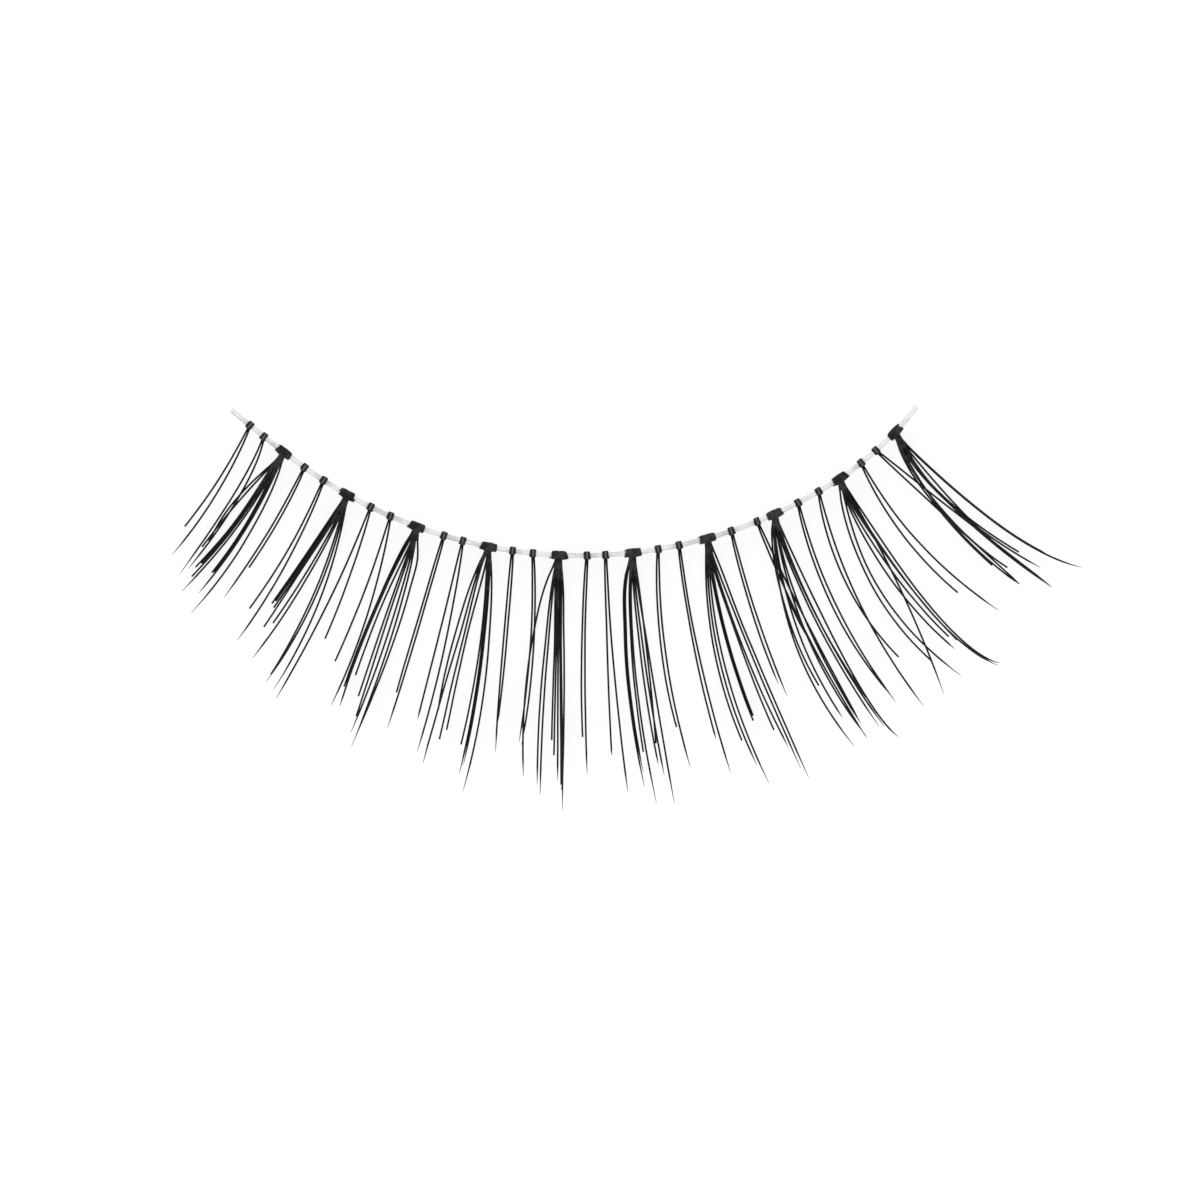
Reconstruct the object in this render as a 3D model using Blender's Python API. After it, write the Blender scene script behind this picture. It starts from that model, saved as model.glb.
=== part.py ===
# False eyelash strip: a clear thread that carries thirty tufts of black hair, twenty tied as
# pairs and ten as glued clusters. It lies with its curl upwards.
# X runs from the inner corner of the eye to the outer one, the hair points to -Y, and Z is up.

import math
from collections import namedtuple

import bmesh
import bpy
from mathutils import Matrix, Vector

MM = 0.001
UP = Vector((0, 0, 1))
SHARP_ANGLE = math.radians(50)

# The thread leaves the inner corner at BAND_HEADING and turns to the left through three arcs.
BandArc = namedtuple("BandArc", "length turn")
BAND_ARCS = (
    BandArc(length=3.3 * MM, turn=math.radians(3.5)),
    BandArc(length=22.7 * MM, turn=math.radians(68.4)),
    BandArc(length=4.7 * MM, turn=math.radians(20.4)),
)
BAND_HEADING = math.radians(-40.2)
BAND_LENGTH = sum(arc.length for arc in BAND_ARCS)
BAND_RADIUS = 0.1 * MM
BAND_SIDES = 8
BAND_SEGMENTS = 48

# Every hair dips from its knot to a belly on the table and curls up again to its tip.
CURL_RADIUS = 10 * MM
BELLY_DISTANCE = 3.8 * MM

# A hair thins a little on its way out. A tuft's longest hair keeps its fine point whole, the
# next ones keep less of theirs, and those under CUT_SHARE of the longest end blunt.
HAIR_RADIUS = 0.03 * MM
HAIR_THINNING = 0.12
CUT_SHARE = 0.84
PAIR_POINT = 0.8 * MM
CLUSTER_POINT = 1.2 * MM
LEAST_POINT_SHARE = 0.3

# A lock of two hairs is wider. A lock has a section on its way down to its belly, one there and
# the rest about SECTION_SPACING apart, each square to its last HEADING_STEP.
DOUBLE_WIDENING = 1.8
INNER_STOP_SHARE = 0.5
SECTION_SPACING = 1.7 * MM
HEADING_STEP = 0.17 * MM

# Neighbouring locks ride at heights that take turns, so that they cross clear of each other.
LIFT_STEP = 0.1 * MM
LIFT_TURNS = 3
LIFT_RUN = 1.3 * MM
OVER_LIFT = LIFT_TURNS * LIFT_STEP
SPREAD_RUN = 3 * MM

# A knot is a six-sided sleeve of hair round the thread.
KNOT_SIDES = 6
KNOT_BORE_RADIUS = 0.13 * MM
Knot = namedtuple("Knot", "length rim_radius body_radius body_share")
PAIR_KNOT = Knot(length=0.3 * MM, rim_radius=0.15 * MM, body_radius=0.175 * MM, body_share=0)
CLUSTER_KNOT = Knot(length=0.72 * MM, rim_radius=0.18 * MM, body_radius=0.215 * MM, body_share=0.4)

# A cluster's hairs leave their knot through a short neck and a flat wedge of dried glue.
NECK_DISTANCE = 0.32 * MM
NECK_HALF_WIDTH = 0.12 * MM
NECK_HALF_HEIGHT = 0.08 * MM
WEDGE_LENGTH = 0.95 * MM
WEDGE_HALF_HEIGHT = 0.04 * MM
WEDGE_CELL = 0.068 * MM

# A pair's two hairs leave their knot side by side.
PAIR_ROOT = 0.26 * MM

# A lock's tip lies across and down from its knot in the plan. Its middle bows out to the right,
# with the bend at a share of its length. It holds one hair, or two side by side.
# A lock or a whole tuft that crosses its neighbours rides over them. A cut lock is a long one
# that was trimmed all the same.
Lock = namedtuple("Lock", "across down bow hairs bend over cut", defaults=(1, 0.5, False, False))
Tuft = namedtuple("Tuft", "station locks over", defaults=(False,))

# Stations along the thread and all of a lock's lengths are in millimetres.
TUFTS = (
    Tuft(0.96, (Lock(-2.62, 4.04, 0.12), Lock(-3.12, 5.16, 0.26))),
    Tuft(1.67, (Lock(-3.36, 5.48, 0.18, bend=0.3), Lock(-3.03, 5.29, 0.33, bend=0.35)), over=True),
    Tuft(2.68, (
        Lock(-3.00, 3.56, -0.29), Lock(-3.28, 3.80, -0.09), Lock(-3.51, 4.63, 0.17, hairs=2),
        Lock(-3.69, 4.98, 0.20), Lock(-4.08, 5.55, 0.27), Lock(-2.85, 4.85, 0.19, hairs=2),
        Lock(-3.41, 5.64, 0.28), Lock(-3.71, 6.43, 0.43),
    )),
    Tuft(3.71, (Lock(-3.21, 5.18, 0.12), Lock(-2.23, 4.01, 0.12))),
    Tuft(4.63, (Lock(-2.97, 5.13, 0.16), Lock(-3.45, 6.40, 0.26))),
    Tuft(5.74, (
        Lock(-2.99, 4.38, 0.02, hairs=2), Lock(-2.95, 4.53, 0.05), Lock(-3.34, 5.29, 0.05),
        Lock(-2.98, 5.14, 0.15), Lock(-3.79, 6.54, 0.27), Lock(-3.05, 7.18, 0.32, cut=True),
        Lock(-3.24, 7.48, 0.45), Lock(-2.95, 7.79, 0.46),
    )),
    Tuft(6.80, (Lock(-3.78, 7.66, 0.16), Lock(-1.84, 5.28, 0.11))),
    Tuft(7.67, (Lock(-2.22, 5.80, 0.10), Lock(-2.37, 7.58, 0.29))),
    Tuft(8.81, (
        Lock(-2.88, 6.41, -0.17, hairs=2), Lock(-3.08, 7.19, -0.22), Lock(-2.46, 5.94, -0.10),
        Lock(-2.34, 6.78, -0.03), Lock(-2.42, 7.58, 0, cut=True), Lock(-2.63, 8.21, 0.20),
        Lock(-2.58, 8.68, 0.32), Lock(-2.61, 8.77, 0.55, bend=0.25),
    )),
    Tuft(9.95, (Lock(-1.88, 6.27, 0.03), Lock(-2.25, 7.69, 0.10))),
    Tuft(10.73, (Lock(-1.81, 7.14, 0), Lock(-1.82, 8.43, 0.18))),
    Tuft(11.79, (
        Lock(-2.02, 6.52, -0.25), Lock(-2.62, 8.66, -0.08), Lock(-1.96, 7.69, -0.08),
        Lock(-1.68, 7.32, -0.05), Lock(-1.10, 7.90, 0.20), Lock(-1.13, 9.08, 0.26, hairs=2),
        Lock(-1.03, 9.80, 0.43),
    )),
    Tuft(12.76, (Lock(-0.68, 8.02, -0.06), Lock(-0.58, 6.84, 0.07))),
    Tuft(13.58, (Lock(-0.55, 7.55, 0.17), Lock(-0.45, 7.66, 0.25)), over=True),
    Tuft(14.63, (
        Lock(-1.44, 8.83, -0.55), Lock(-0.87, 9.16, -0.22), Lock(-0.75, 9.56, -0.16),
        Lock(-0.30, 7.37, -0.05), Lock(-0.22, 7.98, -0.02), Lock(-0.06, 8.99, 0.02),
        Lock(0.10, 9.14, 0.04, cut=True), Lock(0.14, 10.14, 0.04), Lock(0.12, 9.36, 0.11, cut=True),
    )),
    Tuft(15.75, (Lock(-0.18, 7.25, -0.12), Lock(0.01, 8.74, -0.09))),
    Tuft(16.49, (Lock(0.25, 8.02, -0.05), Lock(0.89, 9.48, -0.09))),
    Tuft(17.59, (
        Lock(0.50, 9.36, -0.54, hairs=2), Lock(0.43, 7.98, -0.32), Lock(0.94, 10.01, -0.40),
        Lock(1.02, 8.48, -0.23), Lock(1.25, 8.86, -0.17), Lock(0.92, 7.68, 0.04),
        Lock(1.63, 9.99, -0.04),
    )),
    Tuft(18.61, (Lock(0.73, 7.12, -0.29), Lock(1.28, 8.70, -0.31))),
    Tuft(19.46, (Lock(1.48, 7.74, -0.18), Lock(2.05, 9.07, -0.19))),
    Tuft(20.62, (
        Lock(1.38, 8.06, -0.54), Lock(1.98, 9.02, -0.61), Lock(2.45, 9.74, -0.64),
        Lock(1.88, 7.22, -0.26, hairs=2), Lock(2.63, 7.63, -0.12), Lock(3.25, 8.31, -0.20),
        Lock(3.72, 9.16, -0.05), Lock(4.04, 9.54, -0.10),
    )),
    Tuft(21.63, (Lock(1.88, 6.12, -0.16), Lock(2.22, 6.60, -0.11))),
    Tuft(22.73, (Lock(4.37, 8.64, -0.26), Lock(4.14, 8.08, -0.07)), over=True),
    Tuft(23.50, (
        Lock(3.18, 9.29, -0.90), Lock(1.75, 6.84, -0.52), Lock(2.60, 7.97, -0.60),
        Lock(4.16, 8.49, -0.33), Lock(4.34, 8.48, -0.38, hairs=2), Lock(4.92, 8.88, -0.46, hairs=2),
    )),
    Tuft(24.53, (Lock(3.80, 7.80, -0.58), Lock(3.90, 7.96, -0.43))),
    Tuft(25.47, (Lock(3.19, 6.62, -0.60), Lock(4.16, 8.54, -0.48))),
    Tuft(26.46, (
        Lock(3.69, 7.32, -0.78), Lock(4.84, 7.88, -0.96), Lock(4.60, 6.83, -0.56),
        Lock(4.14, 8.60, 0.27, over=True), Lock(4.35, 6.32, -0.38), Lock(4.68, 6.46, -0.29, over=True),
        Lock(6.30, 7.47, -0.75), Lock(6.40, 7.38, -0.72),
    )),
    Tuft(27.52, (Lock(3.87, 5.19, -0.38), Lock(5.48, 5.89, -0.47))),
    Tuft(28.29, (Lock(7.02, 5.45, 0), Lock(5.75, 5.34, -0.03)), over=True),
    Tuft(29.36, (
        Lock(4.00, 5.41, -0.38), Lock(4.52, 5.47, -0.58), Lock(5.01, 6.10, -0.58),
        Lock(5.54, 5.61, -0.38, hairs=2), Lock(4.95, 4.79, -0.30), Lock(5.85, 5.43, -0.40, hairs=2),
        Lock(7.49, 5.43, -0.60, hairs=2), Lock(6.22, 5.04, -0.40),
    )),
)

# One lock's way in the plan, from its knot: the curve's tip and middle handle, the step aside
# that its place in the knot gives it at the start, its lift above the table, and the length of
# its point, which is nothing on a blunt one.
Route = namedtuple("Route", "tip handle aside start lift point")


def clear_scene():
    for item in list(bpy.data.objects):
        bpy.data.objects.remove(item, do_unlink=True)


def make_material(name, colour, roughness):
    material = bpy.data.materials.new(name)
    material.use_nodes = True
    shader = material.node_tree.nodes["Principled BSDF"]
    shader.inputs["Base Color"].default_value = (*colour, 1)
    shader.inputs["Roughness"].default_value = roughness
    shader.inputs["Metallic"].default_value = 0
    return material


def ease(share):
    share = min(max(share, 0), 1)
    return share * share * (3 - 2 * share)


def curl_height(distance):
    # Height of a hair's underside above the table.
    return CURL_RADIUS - math.sqrt(CURL_RADIUS ** 2 - (distance - BELLY_DISTANCE) ** 2)


# The thread is level with the hairs where they leave their knots.
BAND_HEIGHT = curl_height(0) + HAIR_RADIUS


def band_place(station):
    # Centre of the thread and its heading, a length along it from the inner corner.
    place = Vector((0, 0, BAND_HEIGHT))
    heading = BAND_HEADING
    left = station
    for arc in BAND_ARCS:
        run = min(left, arc.length)
        turn = arc.turn * run / arc.length
        if turn:
            chord = 2 * run / turn * math.sin(turn / 2)
            middle = heading + turn / 2
            place = place + Vector((math.cos(middle), math.sin(middle), 0)) * chord
        heading += turn
        left -= run
    return place, heading


def finish_piece(name, bm, material, strip, place):
    bmesh.ops.recalc_face_normals(bm, faces=bm.faces)
    if bm.calc_volume(signed=True) < 0:
        bmesh.ops.reverse_faces(bm, faces=bm.faces)
    mesh = bpy.data.meshes.new(name)
    bm.to_mesh(mesh)
    bm.free()
    mesh.materials.append(material)
    mesh.shade_smooth()
    mesh.set_sharp_from_angle(angle=SHARP_ANGLE)
    piece = bpy.data.objects.new(name, mesh)
    bpy.context.scene.collection.objects.link(piece)
    piece.parent = strip
    piece.location = place
    return piece


def build_band(strip, material):
    bm = bmesh.new()
    # The first ring stands across the thread with flats on its top, its bottom and its two sides.
    ring = bmesh.ops.create_circle(bm, cap_ends=True, segments=BAND_SIDES, radius=BAND_RADIUS)["verts"]
    half_side = Matrix.Rotation(math.pi / BAND_SIDES, 3, "Z")
    stand_up = Matrix.Rotation(math.pi / 2, 3, "Y")
    bmesh.ops.transform(bm, matrix=(stand_up @ half_side).to_4x4(), verts=ring)
    section = [vert.co.copy() for vert in ring]
    face = ring[0].link_faces[0]
    for step in range(BAND_SEGMENTS + 1):
        place, heading = band_place(BAND_LENGTH * step / BAND_SEGMENTS)
        if step:
            face = bmesh.ops.extrude_discrete_faces(bm, faces=[face])["faces"][0]
        turn = Matrix.Rotation(heading, 3, "Z")
        for vert, corner in zip(face.verts, section):
            vert.co = place + turn @ corner
    bmesh.ops.holes_fill(bm, edges=[edge for edge in bm.edges if edge.is_boundary], sides=BAND_SIDES)
    finish_piece("band", bm, material, strip, Vector())


def add_knot(bm, knot, heading):
    # Spins the sleeve's profile round the thread, with a flat towards the hair.
    along = Vector((math.cos(heading), math.sin(heading), 0))
    out = Vector((math.sin(heading), -math.cos(heading), 0))
    half = knot.length / 2
    body = half * knot.body_share
    profile = [(-half, knot.rim_radius), (half, knot.rim_radius)]
    if body:
        profile[1:1] = [(-body, knot.body_radius), (body, knot.body_radius)]
    else:
        profile[1:1] = [(0, knot.body_radius)]
    profile += [(half, KNOT_BORE_RADIUS), (-half, KNOT_BORE_RADIUS)]
    corner = Matrix.Rotation(math.pi / KNOT_SIDES, 3, along) @ out
    verts = [bm.verts.new(along * run + corner * radius) for run, radius in profile]
    edges = [bm.edges.new((vert, verts[index - 1])) for index, vert in enumerate(verts)]
    bmesh.ops.spin(
        bm, geom=verts + edges, cent=(0, 0, 0), axis=along, angle=math.tau, steps=KNOT_SIDES,
        use_merge=True,
    )
    faces = sorted(bm.faces, key=lambda face: face.calc_center_median().dot(out), reverse=True)
    return faces, along


def lock_curve(lock):
    # A lock's tip and the middle handle of its curve, seen from its knot.
    tip = Vector((lock.across, -lock.down, 0)) * MM
    rightward = UP.cross(tip).normalized()
    return tip, tip * lock.bend + rightward * (2 * lock.bow * MM)


def tuft_direction(tuft):
    # The way a tuft's hairs set off from the knot, and the way across them to the right.
    ahead = sum((lock_curve(lock)[1].normalized() for lock in tuft.locks), Vector()).normalized()
    return ahead, UP.cross(ahead)


def point_length(tuft, lock):
    # The nearer a lock comes to its tuft's longest, the longer its point.
    reach = math.hypot(lock.across, lock.down)
    longest = max(math.hypot(other.across, other.down) for other in tuft.locks)
    if lock.cut or reach < CUT_SHARE * longest:
        return 0
    share = (reach / longest - CUT_SHARE) / (1 - CUT_SHARE)
    full = PAIR_POINT if len(tuft.locks) == 2 else CLUSTER_POINT
    return full * (LEAST_POINT_SHARE + (1 - LEAST_POINT_SHARE) * share)


def lock_routes(tuft, start, spacing):
    # Routes for a tuft's locks, in their order across the knot, a spacing apart at the start.
    ahead, across = tuft_direction(tuft)
    locks = sorted(tuft.locks, key=lambda lock: lock_curve(lock)[1].normalized().dot(across))
    routes = []
    for index, lock in enumerate(locks):
        tip, handle = lock_curve(lock)
        lift = LIFT_STEP * (index % LIFT_TURNS)
        if tuft.over or lock.over:
            lift += OVER_LIFT
        plain = Route(tip, handle, Vector(), start, lift, point_length(tuft, lock))
        seat = ahead * start + across * (spacing * (index - (len(locks) - 1) / 2))
        routes.append((lock, plain._replace(aside=seat - plan_point(plain, start))))
    return routes


def plan_point(route, distance):
    share = distance / route.tip.length
    point = route.handle * (2 * share * (1 - share)) + route.tip * share ** 2
    return point + route.aside * (1 - ease((distance - route.start) / SPREAD_RUN))


def lock_stops(route):
    # Distances from the knot of the lock's sections, up to where its point begins.
    even_length = route.tip.length - route.point
    middle = route.start + (BELLY_DISTANCE - route.start) * INNER_STOP_SHARE
    outer_steps = max(round((even_length - BELLY_DISTANCE) / SECTION_SPACING), 1)
    outer_run = (even_length - BELLY_DISTANCE) / outer_steps
    return [middle] + [BELLY_DISTANCE + outer_run * step for step in range(outer_steps + 1)]


def lock_section(route, stop):
    # Middle of a lock's section, the way across it, and its radius.
    radius = HAIR_RADIUS * (1 - HAIR_THINNING * stop / route.tip.length)
    centre = plan_point(route, stop)
    across = UP.cross(centre - plan_point(route, stop - HEADING_STEP)).normalized()
    lift = route.lift * ease((stop - route.start) / LIFT_RUN)
    centre.z = curl_height(stop) + lift + radius - BAND_HEIGHT
    return centre, across, radius


def grow_lock(bm, face, lock, route):
    # Draws a face of the knot or wedge out along the lock's route.
    widening = DOUBLE_WIDENING if lock.hairs == 2 else 1
    for stop in lock_stops(route):
        centre, across, radius = lock_section(route, stop)
        face = draw_out(bm, face, centre, across, radius * widening, radius)
    if route.point:
        tip = lock_section(route, route.tip.length)[0]
        face = bmesh.ops.extrude_discrete_faces(bm, faces=[face])["faces"][0]
        bmesh.ops.pointmerge(bm, verts=face.verts[:], merge_co=tip)


def draw_out(bm, face, centre, across, half_width, half_height):
    # Extrudes a four-sided face and sets the new one square to the route.
    face = bmesh.ops.extrude_discrete_faces(bm, faces=[face])["faces"][0]
    middle = face.calc_center_median()
    for vert in face.verts:
        offset = vert.co - middle
        side = math.copysign(half_width, offset.dot(across))
        vert.co = centre + across * side + UP * math.copysign(half_height, offset.z)
    return face


def split_wedge(bm, face, count, ahead, across):
    # Cuts the wedge's end face into cells side by side, one for each lock.
    level = []
    for edge in face.edges:
        one, other = edge.verts
        if abs(one.co.z - other.co.z) < WEDGE_HALF_HEIGHT:
            level.append(edge)
    bmesh.ops.subdivide_edges(bm, edges=level, cuts=count - 1)
    cells = sorted(bm.faces, key=lambda cell: cell.calc_center_median().dot(ahead))[-count:]
    return sorted(cells, key=lambda cell: cell.calc_center_median().dot(across))


def build_pair(name, tuft, strip, material):
    bm = bmesh.new()
    place, heading = band_place(tuft.station * MM)
    faces, along = add_knot(bm, PAIR_KNOT, heading)
    windows = sorted(faces[:2], key=lambda face: face.calc_center_median().dot(along))
    for window, (lock, route) in zip(windows, lock_routes(tuft, PAIR_ROOT, WEDGE_CELL)):
        centre = plan_point(route, PAIR_ROOT)
        centre.z = curl_height(PAIR_ROOT) + HAIR_RADIUS - BAND_HEIGHT
        root = draw_out(bm, window, centre, along, HAIR_RADIUS, HAIR_RADIUS)
        grow_lock(bm, root, lock, route)
    finish_piece(name, bm, material, strip, place)


def build_cluster(name, tuft, strip, material):
    bm = bmesh.new()
    place, heading = band_place(tuft.station * MM)
    faces, along = add_knot(bm, CLUSTER_KNOT, heading)
    ahead, across = tuft_direction(tuft)
    count = len(tuft.locks)
    half_width = WEDGE_CELL * count / 2
    neck = ahead * NECK_DISTANCE + UP * (curl_height(NECK_DISTANCE) - curl_height(0))
    end = ahead * WEDGE_LENGTH + UP * (curl_height(WEDGE_LENGTH) - curl_height(0))
    face = draw_out(bm, faces[0], neck, across, NECK_HALF_WIDTH, NECK_HALF_HEIGHT)
    face = draw_out(bm, face, end, across, half_width, WEDGE_HALF_HEIGHT)
    cells = split_wedge(bm, face, count, ahead, across)
    for cell, (lock, route) in zip(cells, lock_routes(tuft, WEDGE_LENGTH, WEDGE_CELL)):
        grow_lock(bm, cell, lock, route)
    finish_piece(name, bm, material, strip, place)


def centre_on_table(strip):
    bpy.context.view_layer.update()
    corners = []
    for piece in strip.children:
        corners += [piece.matrix_world @ Vector(corner) for corner in piece.bound_box]
    for axis in (0, 1):
        low = min(corner[axis] for corner in corners)
        high = max(corner[axis] for corner in corners)
        strip.location[axis] = -(low + high) / 2


def build_strip():
    clear_scene()
    strip = bpy.data.objects.new("eyelash_strip", None)
    bpy.context.scene.collection.objects.link(strip)
    clear_thread = make_material("clear thread", (0.80, 0.81, 0.82), 0.35)
    loose_hair = make_material("black hair", (0.018, 0.015, 0.014), 0.4)
    glued_hair = make_material("glued black hair", (0.022, 0.019, 0.018), 0.3)
    build_band(strip, clear_thread)
    pairs = 0
    clusters = 0
    for tuft in TUFTS:
        if len(tuft.locks) == 2:
            pairs += 1
            build_pair(f"pair_tuft_{pairs:02d}", tuft, strip, loose_hair)
        else:
            clusters += 1
            build_cluster(f"cluster_tuft_{clusters:02d}", tuft, strip, glued_hair)
    centre_on_table(strip)


build_strip()
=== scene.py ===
import math
import random

import bpy
from mathutils import Matrix, Vector


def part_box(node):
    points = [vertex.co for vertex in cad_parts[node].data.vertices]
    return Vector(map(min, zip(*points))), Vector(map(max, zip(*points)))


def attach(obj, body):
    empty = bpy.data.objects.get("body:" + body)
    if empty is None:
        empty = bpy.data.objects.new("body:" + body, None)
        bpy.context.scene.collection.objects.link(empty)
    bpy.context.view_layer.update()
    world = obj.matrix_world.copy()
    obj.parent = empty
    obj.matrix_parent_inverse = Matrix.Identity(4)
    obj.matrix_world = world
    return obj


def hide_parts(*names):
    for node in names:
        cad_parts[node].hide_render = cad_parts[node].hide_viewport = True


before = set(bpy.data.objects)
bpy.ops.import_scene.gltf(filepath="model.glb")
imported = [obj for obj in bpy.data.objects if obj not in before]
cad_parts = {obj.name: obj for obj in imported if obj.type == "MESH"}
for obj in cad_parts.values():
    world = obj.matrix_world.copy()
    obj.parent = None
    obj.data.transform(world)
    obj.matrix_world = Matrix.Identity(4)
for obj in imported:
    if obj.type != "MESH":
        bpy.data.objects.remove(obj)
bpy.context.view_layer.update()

mm = 0.001
up = Vector((0, 0, 1))
print("frame loaded with", len(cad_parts), "nodes")


def putNode(tree, kind, at, **settings):
    node = tree.nodes.new(kind)
    node.location = at
    for name, value in settings.items():
        setattr(node, name, value)
    return node


def plug(tree, value, socket):
    # a socket is linked, anything else is set as the value
    if isinstance(value, bpy.types.NodeSocket):
        tree.links.new(value, socket)
    else:
        socket.default_value = value


def calc(tree, operation, first, second, at):
    node = putNode(tree, "ShaderNodeMath", at, operation=operation)
    plug(tree, first, node.inputs[0])
    plug(tree, second, node.inputs[1])
    return node.outputs[0]


def joinAxes(tree, at, **axes):
    # a vector from the axes that are given, with 0 on the others
    node = putNode(tree, "ShaderNodeCombineXYZ", at)
    for axis, value in axes.items():
        plug(tree, value, node.inputs[axis.upper()])
    return node.outputs[0]


def readStored(tree, label, at):
    # a value that the mesh keeps on its points
    return putNode(tree, "ShaderNodeAttribute", at, attribute_name=label).outputs["Fac"]


def startTree(name, kind, inputs, outputs):
    tree = bpy.data.node_groups.new(name, kind)
    for label, socketType, value in inputs:
        socket = tree.interface.new_socket(label, in_out="INPUT", socket_type=socketType)
        if value is not None:
            socket.default_value = value
    for label, socketType in outputs:
        tree.interface.new_socket(label, in_out="OUTPUT", socket_type=socketType)
    source = putNode(tree, "NodeGroupInput", (-1000, 0))
    target = putNode(tree, "NodeGroupOutput", (1400, 0))
    return tree, source.outputs, target.inputs


grainNoise = {"detail": 3, "roughness": 0.6, "fibreStep": 40.0}  # the step gives each fibre its own lines
filmNoise = {"detail": 2, "edge": 0.2}  # the edge is how softly a patch ends


def buildFibreGrain(values):
    # fine lines along a drawn fibre, from its own along, around and tone values
    tree, given, result = startTree(
        "fibreGrain", "ShaderNodeTree",
        [("Line Length", "NodeSocketFloat", 1.2), ("Lines Around", "NodeSocketFloat", 9.0),
         ("Contrast", "NodeSocketFloat", 1.0)],
        [("Lines", "NodeSocketFloat"), ("Tone", "NodeSocketFloat")],
    )
    along = readStored(tree, "alongStrand", (-800, 200))
    around = readStored(tree, "aroundStrand", (-800, 0))
    tone = readStored(tree, "strandTone", (-800, -200))
    lengths = calc(tree, "DIVIDE", along, given["Line Length"], (-600, 200))
    lengthsInMm = calc(tree, "MULTIPLY", lengths, 1 / mm, (-400, 200))
    rounds = calc(tree, "MULTIPLY", around, given["Lines Around"], (-600, 0))
    apart = calc(tree, "MULTIPLY", tone, values["fibreStep"], (-600, -200))
    noise = putNode(tree, "ShaderNodeTexNoise", (0, 0))
    noise.inputs["Scale"].default_value = 1
    noise.inputs["Detail"].default_value = values["detail"]
    noise.inputs["Roughness"].default_value = values["roughness"]
    plug(tree, joinAxes(tree, (-200, 0), x=lengthsInMm, y=rounds, z=apart), noise.inputs["Vector"])
    centred = calc(tree, "SUBTRACT", noise.outputs["Fac"], 0.5, (200, 0))
    strong = calc(tree, "MULTIPLY", centred, given["Contrast"], (400, 0))
    lines = calc(tree, "ADD", strong, 0.5, (600, 0))
    lines.node.use_clamp = True
    plug(tree, lines, result["Lines"])
    plug(tree, tone, result["Tone"])
    return tree


def buildDriedFilm(values):
    # patches and small beads of dried glue, in the object's own coordinates
    tree, given, result = startTree(
        "driedFilm", "ShaderNodeTree",
        [("Patch Size", "NodeSocketFloat", 0.4), ("Bead Size", "NodeSocketFloat", 0.08),
         ("Cover", "NodeSocketFloat", 0.5)],
        [("Film", "NodeSocketFloat"), ("Beads", "NodeSocketFloat")],
    )
    where = putNode(tree, "ShaderNodeTexCoord", (-900, 300)).outputs["Object"]
    patches = putNode(tree, "ShaderNodeTexNoise", (-400, 200))
    patches.inputs["Detail"].default_value = values["detail"]
    plug(tree, where, patches.inputs["Vector"])
    plug(tree, calc(tree, "DIVIDE", 1 / mm, given["Patch Size"], (-700, 100)), patches.inputs["Scale"])
    low = calc(tree, "SUBTRACT", 1.0, given["Cover"], (-400, -100))
    high = calc(tree, "ADD", low, values["edge"], (-200, -100))
    edges = putNode(tree, "ShaderNodeMapRange", (0, 200), interpolation_type="SMOOTHSTEP")
    plug(tree, patches.outputs["Fac"], edges.inputs["Value"])
    plug(tree, low, edges.inputs["From Min"])
    plug(tree, high, edges.inputs["From Max"])
    film = edges.outputs["Result"]
    beads = putNode(tree, "ShaderNodeTexVoronoi", (-400, -300), feature="SMOOTH_F1")
    plug(tree, where, beads.inputs["Vector"])
    plug(tree, calc(tree, "DIVIDE", 1 / mm, given["Bead Size"], (-700, -300)), beads.inputs["Scale"])
    raised = calc(tree, "SUBTRACT", 1.0, beads.outputs["Distance"], (-200, -300))
    plug(tree, film, result["Film"])
    plug(tree, calc(tree, "MULTIPLY", raised, film, (200, -300)), result["Beads"])
    return tree


fibreGrain = buildFibreGrain(grainNoise)
driedFilm = buildDriedFilm(filmNoise)


def useGroup(tree, group, values, at):
    node = putNode(tree, "ShaderNodeGroup", at, node_tree=group)
    for label, value in values.items():
        node.inputs[label].default_value = value
    return node.outputs


def blendColour(tree, mask, first, second, at):
    node = putNode(tree, "ShaderNodeMix", at, data_type="RGBA")
    plug(tree, mask, node.inputs["Factor"])
    for label, value in (("A", first), ("B", second)):
        plug(tree, value if isinstance(value, bpy.types.NodeSocket) else (*value, 1), node.inputs[label])
    return node.outputs["Result"]


def spread(tree, mask, ends, at):
    node = putNode(tree, "ShaderNodeMapRange", at)
    plug(tree, mask, node.inputs["Value"])
    for label, value in zip(("To Min", "To Max"), ends):
        node.inputs[label].default_value = value
    return node.outputs["Result"]


def startMaterial(name, sockets):
    material = bpy.data.materials.new(name)
    material.use_nodes = True
    tree = material.node_tree
    shader = tree.nodes["Principled BSDF"]
    for label, value in sockets.items():
        shader.inputs[label].default_value = value
    return material, tree, shader


def addBump(tree, height, shader, relief, at):
    bump = putNode(tree, "ShaderNodeBump", at)
    for label, value in zip(("Strength", "Distance"), relief):
        bump.inputs[label].default_value = value
    plug(tree, height, bump.inputs["Height"])
    plug(tree, bump.outputs["Normal"], shader.inputs["Normal"])


def layGlueFilm(tree, shader, values, bare, filmed):
    # patches of dried glue over fine lines: they change colour and gloss and stand up a little
    film = useGroup(tree, driedFilm, values["patches"], (-900, 100))
    lines = useGroup(tree, fibreGrain, values["grain"], (-900, -250))["Lines"]
    mask = calc(tree, "MULTIPLY", film["Film"], lines, (-650, 250))
    plug(tree, blendColour(tree, mask, bare, filmed, (-400, 300)), shader.inputs["Base Color"])
    plug(tree, spread(tree, film["Film"], values["roughness"], (-400, 50)), shader.inputs["Roughness"])
    height = calc(tree, "ADD", film["Beads"], lines, (-650, -250))
    addBump(tree, height, shader, values["relief"], (-300, -350))
    return film["Film"]


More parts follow.
